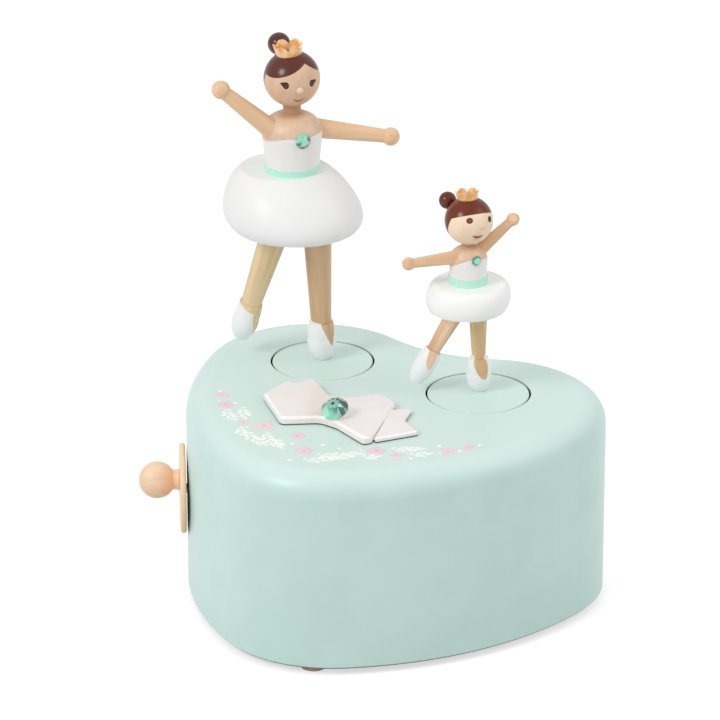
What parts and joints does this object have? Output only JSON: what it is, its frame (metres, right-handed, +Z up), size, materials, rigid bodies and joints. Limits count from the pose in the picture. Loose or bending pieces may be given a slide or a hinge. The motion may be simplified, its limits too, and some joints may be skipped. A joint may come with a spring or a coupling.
{
  "type": "music box",
  "caption": "Heart-shaped wooden hand-crank music box with dancers on turntables, a bow, and a pinned cylinder and comb inside.",
  "frame": {"origin": "on the surface the box stands on, on the heart's centre line, level with the centres of its lobes", "axes": "+Z up, +X towards the lobe on the right as seen with the heart's point nearest, -Y towards the heart's point"},
  "size_m": [0.1338, 0.1148, 0.1662],
  "materials": {
    "painted_wood": "satin mint paint",
    "bare_wood": "clear matt varnish",
    "dark_board": "dark stain",
    "white_wood": "satin white paint",
    "pearl_wood": "pearl white paint",
    "figure_wood": "clear varnish with painted face, bodice and shoes",
    "hair_paint": "gloss brown paint",
    "belt_band": "satin ribbon",
    "green_stone": "faceted and clear",
    "gold_plastic": "gold coloured",
    "foot_felt": "matt",
    "brass": "turned",
    "steel": "turned",
    "spring_steel": "ground",
    "cast_metal": "cast and painted grey",
    "gear_plastic": "moulded"
  },
  "bodies": {
    "box": {"body_shell": "painted_wood", "bottom_board": "dark_board", "board_screws": "steel", "foot_pads": "foot_felt", "bow": "pearl_wood", "bow_gem": "green_stone", "crank_bush": "brass", "left_bush": "brass", "right_bush": "brass", "centre_post": "steel", "post_clip": "steel", "movement_frame": "cast_metal", "movement_screws": "steel", "comb": "spring_steel", "comb_screws": "steel"},
    "crank": {"crank_plate": "bare_wood", "crank_shaft": "steel", "crank_collar": "brass", "knob_pin": "steel", "cylinder_pinion": "brass", "crown_pinion": "brass"},
    "knob": {"crank_knob": "bare_wood"},
    "centre_wheel": {"crown_wheel": "gear_plastic", "drive_gear": "gear_plastic"},
    "cylinder": {"pinned_cylinder": "brass", "cylinder_arbor": "steel", "cylinder_gear": "brass"},
    "left_turntable": {"left_disc": "painted_wood", "left_spindle": "steel", "left_gear": "gear_plastic", "left_clip": "steel", "large_standing_leg": "figure_wood", "large_free_leg": "figure_wood", "large_skirt": "white_wood", "large_torso": "figure_wood", "large_belt": "belt_band", "large_chest_gem": "green_stone", "large_raised_arm": "figure_wood", "large_level_arm": "figure_wood", "large_head": "figure_wood", "large_nose": "figure_wood", "large_bun": "hair_paint", "large_crown": "gold_plastic"},
    "right_turntable": {"right_disc": "painted_wood", "right_spindle": "steel", "right_gear": "gear_plastic", "right_clip": "steel", "small_standing_leg": "figure_wood", "small_free_leg": "figure_wood", "small_skirt": "white_wood", "small_torso": "figure_wood", "small_belt": "belt_band", "small_chest_gem": "green_stone", "small_raised_arm": "figure_wood", "small_level_arm": "figure_wood", "small_head": "figure_wood", "small_nose": "figure_wood", "small_bun": "hair_paint", "small_crown": "gold_plastic"}
  },
  "joints": [
    {"name": "crank_turn", "type": "hinge", "parent": "box", "child": "crank", "pos_m": [-0.05106, -0.04156, 0.0327], "axis": [0.8526, 0.5225, 0], "continuous": true},
    {"name": "knob_spin", "type": "hinge", "parent": "crank", "child": "knob", "pos_m": [-0.05548, -0.03435, 0.03181], "axis": [0.8526, 0.5225, 0], "continuous": true},
    {"name": "centre_wheel_turn", "type": "hinge", "parent": "box", "child": "centre_wheel", "pos_m": [-0.00075, -0.01073, 0.0398], "axis": [0, 0, 1], "continuous": true},
    {"name": "left_turntable_turn", "type": "hinge", "parent": "box", "child": "left_turntable", "pos_m": [-0.0274, 0.00075, 0.0636], "axis": [0, 0, 1], "continuous": true},
    {"name": "right_turntable_turn", "type": "hinge", "parent": "box", "child": "right_turntable", "pos_m": [0.0259, 0.00075, 0.0636], "axis": [0, 0, 1], "continuous": true},
    {"name": "cylinder_turn", "type": "hinge", "parent": "box", "child": "cylinder", "pos_m": [-0.02996, -0.04078, 0.0227], "axis": [0.8526, 0.5225, 0], "continuous": true}
  ],
  "couplings": [
    {"joint": "centre_wheel_turn", "follows": "crank_turn", "ratio": 0.5},
    {"joint": "left_turntable_turn", "follows": "crank_turn", "ratio": -0.25},
    {"joint": "right_turntable_turn", "follows": "crank_turn", "ratio": -0.25},
    {"joint": "cylinder_turn", "follows": "crank_turn", "ratio": -0.33333}
  ]
}
